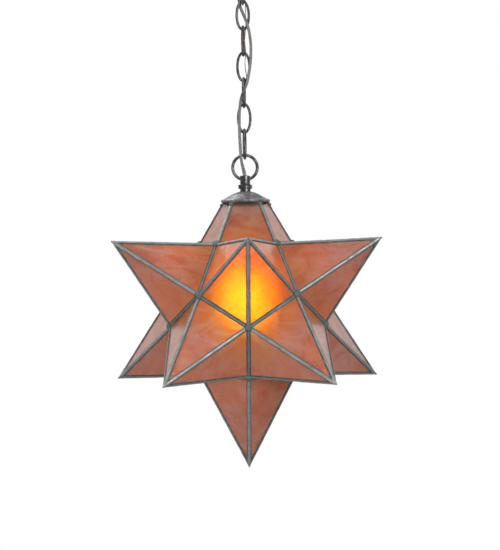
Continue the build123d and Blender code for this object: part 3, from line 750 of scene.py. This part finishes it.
def narrow_rim(piece, cut, radius_at):
    """Pulls the cut rim's band up its faces, as the mica runs on up under the cap."""
    shape = bmesh.from_edit_mesh(piece.data)
    for vertex in shape.verts:
        depth = cut - vertex.co.z
        if RIM_BAND[0] < depth < RIM_BAND[1]:
            raised = cut - depth * RIM_NARROWING
            ratio = radius_at(raised) / radius_at(vertex.co.z)
            vertex.co = (vertex.co.x * ratio, vertex.co.y * ratio, raised)
    bmesh.update_edit_mesh(piece.data)


def seam_pattern(name, apex, settings, cut=None, lift=SEAM_LIFT):
    """A point's metal in its own frame, as one open skin: a five-sided cone with rounded
    ridges, each face drawn in step by step to the lip on the mica, and the middle taken out."""
    deselect()
    foot = CORE_INRADIUS + lift
    top = cut or apex

    def radius_at(height):
        return BASE_RADIUS * (apex - height) / (apex - CORE_INRADIUS)

    bpy.ops.mesh.primitive_cone_add(
        vertices=5, radius1=radius_at(foot), radius2=radius_at(top) if cut else 0, depth=top - foot,
        end_fill_type="NOTHING", location=(0, 0, (foot + top) / 2))
    piece = bpy.context.object
    piece.name = piece.data.name = name
    corner = min(piece.data.vertices, key=lambda vertex: vertex.co.z).co
    piece.rotation_euler.z = -atan2(corner.y, corner.x)
    settle(piece)
    bpy.ops.object.mode_set(mode="EDIT")
    bpy.ops.mesh.select_mode(type="EDGE")
    edit_pick(piece, "edges", lambda lip_oxide_and_shade: len(lip_oxide_and_shade.link_faces) == 2)
    bpy.ops.mesh.bevel(offset=settings.ridge_round, offset_type="WIDTH", segments=3, profile=0.5)
    bpy.ops.mesh.select_mode(type="FACE")
    edit_pick(piece, "faces", lambda face: face.calc_area() > LEAST_FACE)
    for width, rise, lip in INSETS:
        bpy.ops.mesh.inset(thickness=width, depth=rise * settings.crown, use_individual=True)
        shape = bmesh.from_edit_mesh(piece.data)
        layer = shape.verts.layers.float.get("lip") or shape.verts.layers.float.new("lip")
        for vertex in shape.verts:
            if vertex.select:
                vertex[layer] = lip
        bmesh.update_edit_mesh(piece.data)
    bpy.ops.mesh.delete(type="FACE")
    if cut:
        narrow_rim(piece, cut, radius_at)
    bpy.ops.mesh.select_mode(type="EDGE")
    edit_pick(piece, "edges", lambda lip_oxide_and_shade: lip_oxide_and_shade.calc_length() > LONG_EDGE)
    bpy.ops.mesh.subdivide(number_cuts=EDGE_CUTS)
    bpy.ops.object.mode_set(mode="OBJECT")
    return piece


def place_seams(pattern, matrix, name, settings, material, tip=None):
    """Sets a copy of a pattern at a point's place, lets its solder wander and gives it a wall."""
    piece = bpy.data.objects.new(name, pattern.data.copy())
    bpy.context.scene.collection.objects.link(piece)
    piece.data.transform(matrix)
    if tip:
        deselect()
        bpy.ops.mesh.primitive_uv_sphere_add(segments=20, ring_count=12, radius=BEAD_RADIUS)
        bead = bpy.context.object
        bead.scale = (1.0, 1.0, BEAD_STRETCH)
        settle(bead)
        bead.data.transform(matrix @ Matrix.Translation((0, 0, tip - BEAD_DEPTH)))
    wander(piece, "solder_wander", grain=0.007, strength=settings.wave)
    modify(piece, "SOLIDIFY", thickness=SOLDER_WALL, offset=-1.0, use_even_offset=True)
    if tip:
        wander(bead, "bead_wander", grain=0.004, strength=0.0005)
        activate(piece)
        bead.select_set(True)
        bpy.ops.object.join()
    activate(piece)
    bpy.ops.object.shade_smooth_by_angle(angle=SMOOTH_ANGLE)
    dress(piece, material)
    return piece


# ------------------------------------------------------------------ the stage


def aim_camera(scene):
    """Stands the camera in front of the pendant, nearly level with the star's middle."""
    turns = Matrix.Rotation(CAMERA_ROLL, 3, "Y") @ Matrix.Rotation(CAMERA_PITCH, 3, "X")
    turn = (turns @ Matrix.Rotation(CAMERA_YAW, 3, "Z")).transposed()
    right, ahead, up = turn.col
    data = bpy.data.cameras.new("camera")
    data.sensor_width = SENSOR_WIDTH
    data.lens = LENS
    data.clip_end = 50.0
    camera = bpy.data.objects.new("camera", data)
    camera.matrix_world = Matrix((right, up, -ahead)).transposed().to_4x4()
    camera.location = STAR_CENTRE - turn @ STAR_FROM_CAMERA
    scene.collection.objects.link(camera)
    scene.camera = camera


def surround(scene, settings):
    """White surroundings to the camera and through glass, an even dimmer light on the pieces, and
    in reflections white above and behind but dark towards the viewer."""
    world = bpy.data.worlds.new("surroundings")
    world.use_nodes = True
    scene.world = world
    sky = Wiring(world.node_tree)
    direction = sky.node("ShaderNodeTexCoord", output="Generated")
    way = sky.node("ShaderNodeSeparateXYZ", {}, {0: direction})
    rays = sky.node("ShaderNodeLightPath")
    behind = way.other("Z") * 0.8 + way.other("Y")
    behind = sky.span(behind, -0.2, 0.7, -0.6, settings.shine)
    white = rays.other("Is Glossy Ray") * behind + rays.other("Is Transmission Ray")
    white = white + rays.other("Is Camera Ray")
    background = world.node_tree.nodes["Background"]
    sky.feed(background.inputs["Color"], (1, 1, 1))
    sky.feed(background.inputs["Strength"],
             sky.span(white, 0.0, 1.0, settings.room_light, 1.0, clamp=False))


def lay_floor(settings):
    """A wide pale floor, which throws a soft light up at the star."""
    bpy.ops.mesh.primitive_plane_add(size=FLOOR_SIDE, location=(0, 0, settings.floor_height))
    floor = bpy.context.object
    floor.name = floor.data.name = "floor"
    settle(floor)
    dress(floor, pale_finish())


def hang_lights(scene, settings):
    """Large soft lights that face the star."""
    for name, place, side, share in (
        ("key_light", (0.9, -2.0, 0.30), 1.2, 1.0),
        ("fill_light", (-1.5, -1.3, -1.0), 1.2, 0.35),
        ("top_light", (-0.85, 0.5, 1.1), 1.4, 0.6),
    ):
        data = bpy.data.lights.new(name, "AREA")
        data.size = side
        data.energy = settings.key_power * share
        light = bpy.data.objects.new(name, data)
        light.location = place
        light.rotation_euler = (STAR_CENTRE - Vector(place)).to_track_quat("-Z", "Y").to_euler()
        scene.collection.objects.link(light)


# ------------------------------------------------------------------ operators


class STARLAMP_OT_stage(bpy.types.Operator):
    """Soft lights, white surroundings, a pale floor and the camera"""

    bl_idname = "starlamp.stage"
    bl_label = "Stage"

    def execute(self, context):
        scene, settings = context.scene, context.scene.star_stage
        scene.view_settings.view_transform = "Standard"
        scene.cycles.sample_clamp_indirect = 4.0
        aim_camera(scene)
        surround(scene, settings)
        lay_floor(settings)
        hang_lights(scene, settings)
        return {"FINISHED"}


class STARLAMP_OT_supply_cord(bpy.types.Operator):
    """Twin supply cord, woven down through the chain"""

    bl_idname = "starlamp.supply_cord"
    bl_label = "Supply cord"

    def execute(self, context):
        settings = context.scene.star_cords
        outline = twin_outline(settings.width, settings.thickness)
        hang_line("supply_cord_length", "supply_cord", CORD_ROUTE, outline,
                  (settings.turn_length, CORD_SWAY),
                  jacket_finish(settings))
        return {"FINISHED"}


class STARLAMP_OT_earth_wire(bpy.types.Operator):
    """Bare stranded earth wire, woven down through the chain"""

    bl_idname = "starlamp.earth_wire"
    bl_label = "Earth wire"

    def execute(self, context):
        settings = context.scene.star_cords
        outline = strand_outline(settings.earth)
        hang_line("earth_wire_length", "earth_wire", EARTH_ROUTE, outline, (EARTH_TURN,),
                  strand_finish())
        return {"FINISHED"}


class STARLAMP_OT_seams(bpy.types.Operator):
    """Soldered seams round every panel, with a bead of solder on every tip"""

    bl_idname = "starlamp.seams"
    bl_label = "Seams"

    def execute(self, context):
        settings = context.scene.star_seams
        material = solder_finish(settings)
        point = seam_pattern("point_pattern", TIP_RADIUS, settings)
        door = seam_pattern("door_pattern", TIP_RADIUS, settings, lift=DOOR_LIFT)
        bottom = seam_pattern("bottom_pattern", BOTTOM_TIP_RADIUS, settings)
        top = seam_pattern("top_pattern", TOP_APEX_RADIUS, settings, cut=TOP_CUT_HEIGHT)
        made = [
            (top, (0, 90), "top_point", None),
            (bottom, (0, -90), "bottom_point", BOTTOM_TIP_RADIUS),
        ]
        made += [
            (point, (azimuth, POINT_ELEVATION), f"upper_point_{number}", TIP_RADIUS)
            for number, azimuth in enumerate(UPPER_AZIMUTHS, 1)
        ]
        made += [
            (point, (azimuth, -POINT_ELEVATION), f"lower_{side}_point", TIP_RADIUS)
            for side, azimuth in LOWER_POINTS.items()
        ]
        made.append((door, (DOOR_AZIMUTH, -POINT_ELEVATION), "door", TIP_RADIUS))
        for pattern, direction, name, tip in made:
            matrix = point_matrix(*direction)
            piece = place_seams(pattern, matrix, f"{name}_solder", settings, material, tip)
            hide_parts(f"{name}_seams")
            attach(piece, "door" if name == "door" else "star")
        for pattern in (point, door, bottom, top):
            bpy.data.objects.remove(pattern)
        return {"FINISHED"}


class STARLAMP_OT_solder_joints(bpy.types.Operator):
    """Solder joints where six seams meet, left off the door's own corners"""

    bl_idname = "starlamp.solder_joints"
    bl_idname = "starlamp.solder_joints"
    bl_label = "Solder joints"

    def execute(self, context):
        settings = context.scene.star_seams
        directions = [(0, 90), (0, -90)]
        directions += [(azimuth, POINT_ELEVATION) for azimuth in UPPER_AZIMUTHS]
        directions += [(azimuth, -POINT_ELEVATION) for azimuth in LOWER_POINTS.values()]

        def corners(direction):
            matrix = point_matrix(*direction)
            return [matrix @ spot for spot in pentagon(BASE_RADIUS, CORE_INRADIUS)]

        barred = corners((DOOR_AZIMUTH, -POINT_ELEVATION))
        spots = []
        for direction in directions:
            for spot in corners(direction):
                if all((spot - other).length > JOINT_SPACING for other in spots + barred):
                    spots.append(spot)
        # the lumps under the cap are partly solder and partly painted shade: dark things where the
        # cap's rim shades the seams
        rim = BASE_RADIUS * (TOP_APEX_RADIUS - TOP_CUT_HEIGHT) / (TOP_APEX_RADIUS - CORE_INRADIUS)
        matrix = point_matrix(0, 90)
        lumps = [matrix @ spot for spot in pentagon(rim, TOP_CUT_HEIGHT - LUMP_DEPTH)]
        deselect()
        bpy.ops.mesh.primitive_uv_sphere_add(segments=24, ring_count=14,
                                             radius=settings.joint_radius)
        pattern = context.object
        pattern.scale = (1.0, 1.0, JOINT_FLATNESS)
        settle(pattern)
        joints = []
        for number, spot in enumerate(spots + lumps):
            outward = (spot - STAR_CENTRE).normalized()
            matrix = outward.to_track_quat("Z", "Y").to_matrix().to_4x4()
            if spot in lumps:
                matrix = matrix @ Matrix.Diagonal((*LUMP_SCALES, 1.0))
            matrix.translation = spot + outward * JOINT_RISE
            joint = bpy.data.objects.new(f"joint_{number}", pattern.data.copy())
            context.scene.collection.objects.link(joint)
            joint.data.transform(matrix)
            joints.append(joint)
        bpy.data.objects.remove(pattern)
        activate(joints[0])
        for joint in joints[1:]:
            joint.select_set(True)
        bpy.ops.object.join()
        piece = context.object
        piece.name = piece.data.name = "solder_joints"
        wander(piece, "joint_wander", grain=0.006, strength=0.0014)
        activate(piece)
        bpy.ops.object.shade_smooth()
        for name, value in (("lip", 0.35), ("joint", 1.0)):
            layer = piece.data.attributes.new(name, "FLOAT", "POINT")
            layer.data.foreach_set("value", [value] * len(piece.data.vertices))
        dress(piece, bpy.data.objects["top_point_solder"].data.materials[0])
        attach(piece, "star")
        return {"FINISHED"}


class STARLAMP_OT_panels(bpy.types.Operator):
    """Amber mica in every panel, and the lit lamp behind it"""

    bl_idname = "starlamp.panels"
    bl_label = "Mica and lamp"

    def execute(self, context):
        settings = context.scene.star_mica
        mica = mica_finish(settings)
        for name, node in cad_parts.items():
            if name.endswith("_panels"):
                dress(node, mica)
        dress(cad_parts["lamp_glass"], lit_glass_finish(settings))
        return {"FINISHED"}


class STARLAMP_OT_metalwork(bpy.types.Operator):
    """Finishes of the chain, cap, ceiling fitting, hinge and lamp holder"""

    bl_idname = "starlamp.metalwork"
    bl_label = "Metalwork"

    def execute(self, context):
        gunmetal = worn_metal("gunmetal", (0.05, 0.049, 0.048), (0.19, 0.185, 0.18),
                              rubbed=0.44, green=0.3, rough=(0.3, 0.5), metallic=0.55)
        turned = worn_metal("turned_gunmetal", (0.05, 0.049, 0.048), (0.36, 0.355, 0.35),
                            rubbed=0.46, green=0.2, rough=(0.22, 0.40), grain=200.0,
                            metallic=0.85, rim=0.7)
        pewter = worn_metal("aged_pewter", (0.13, 0.128, 0.134), (0.40, 0.39, 0.405),
                            rubbed=0.42, green=0.2, rough=(0.28, 0.5), grain=380.0, metallic=0.7)
        brass = worn_metal("hinge_brass", (0.30, 0.20, 0.075), (0.72, 0.54, 0.24),
                           rubbed=0.42, green=0.25, rough=(0.26, 0.5))
        zinc = spun_metal("zinc_plate", (0.62, 0.63, 0.64), (0.45, 0.46, 0.46), 0.36)
        tinned = spun_metal("tinned_steel", (0.66, 0.65, 0.62), (0.50, 0.48, 0.44), 0.34)
        holder = spun_metal("socket_metal", (0.76, 0.59, 0.29), (0.55, 0.40, 0.18), 0.28)
        contact = spun_metal("contact_brass", (0.78, 0.62, 0.30), (0.58, 0.42, 0.20), 0.3)
        nickel = spun_metal("lamp_base_metal", (0.70, 0.69, 0.66), (0.55, 0.53, 0.49), 0.25)
        wire = spun_metal("filament_metal", (0.52, 0.51, 0.50), (0.36, 0.34, 0.32), 0.35)
        porcelain = porcelain_finish()
        worn = {
            gunmetal: [f"chain_link_{n}" for n in range(1, 8)],
            turned: ["ceiling_loop", "ceiling_collar", "star_loop", "star_collar", "neck_washer"],
            pewter: ["vase_cap", "ceiling_canopy"],
            zinc: ["mounting_strap", "strap_nut", "ceiling_nipple", "star_nipple", "nipple_nut"],
            tinned: ["spider"],
            brass: ["hinge_tubes_star", "hinge_tubes_door", "hinge_pin", "door_tab"],
            holder: ["socket_cap", "socket_shell"],
            contact: ["screw_shell", "lamp_contact"],
            nickel: ["lamp_base"],
            wire: ["lamp_filament"],
            porcelain: ["socket_body"],
        }
        for material, names in worn.items():
            for name in names:
                dress(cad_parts[name], material)
        return {"FINISHED"}


class STARLAMP_PT_sidebar(bpy.types.Panel):
    """Lists the star pendant's pieces"""

    bl_idname = "STARLAMP_PT_sidebar"
    bl_label = "Star pendant"
    bl_space_type = "VIEW_3D"
    bl_region_type = "UI"
    bl_category = "Star pendant"

    def draw(self, context):
        layout, scene = self.layout, context.scene
        for heading, settings in (
            ("Stage", scene.star_stage),
            ("Cords", scene.star_cords),
            ("Seams", scene.star_seams),
            ("Mica and lamp", scene.star_mica),
        ):
            box = layout.box()
            box.label(text=heading)
            for key in settings.__annotations__:
                box.prop(settings, key)
        for operator in OPERATORS:
            layout.operator(operator.bl_idname)


SETTINGS = {
    "star_stage": StageSettings,
    "star_cords": CordSettings,
    "star_seams": SeamSettings,
    "star_mica": MicaSettings,
}
OPERATORS = (
    STARLAMP_OT_stage,
    STARLAMP_OT_supply_cord,
    STARLAMP_OT_earth_wire,
    STARLAMP_OT_seams,
    STARLAMP_OT_solder_joints,
    STARLAMP_OT_panels,
    STARLAMP_OT_metalwork,
)


def register():
    for name, group in SETTINGS.items():
        bpy.utils.register_class(group)
        setattr(bpy.types.Scene, name, PointerProperty(type=group))
    for operator in OPERATORS:
        bpy.utils.register_class(operator)
    bpy.utils.register_class(STARLAMP_PT_sidebar)


def unregister():
    bpy.utils.unregister_class(STARLAMP_PT_sidebar)
    for operator in reversed(OPERATORS):
        bpy.utils.unregister_class(operator)
    for name, group in reversed(SETTINGS.items()):
        delattr(bpy.types.Scene, name)
        bpy.utils.unregister_class(group)


def main():
    register()
    deselect()
    bpy.ops.starlamp.stage()
    bpy.ops.starlamp.supply_cord()
    bpy.ops.starlamp.earth_wire()
    bpy.ops.starlamp.seams()
    bpy.ops.starlamp.solder_joints()
    bpy.ops.starlamp.panels()
    bpy.ops.starlamp.metalwork()
    deselect()


if __name__ == "__main__":
    main()
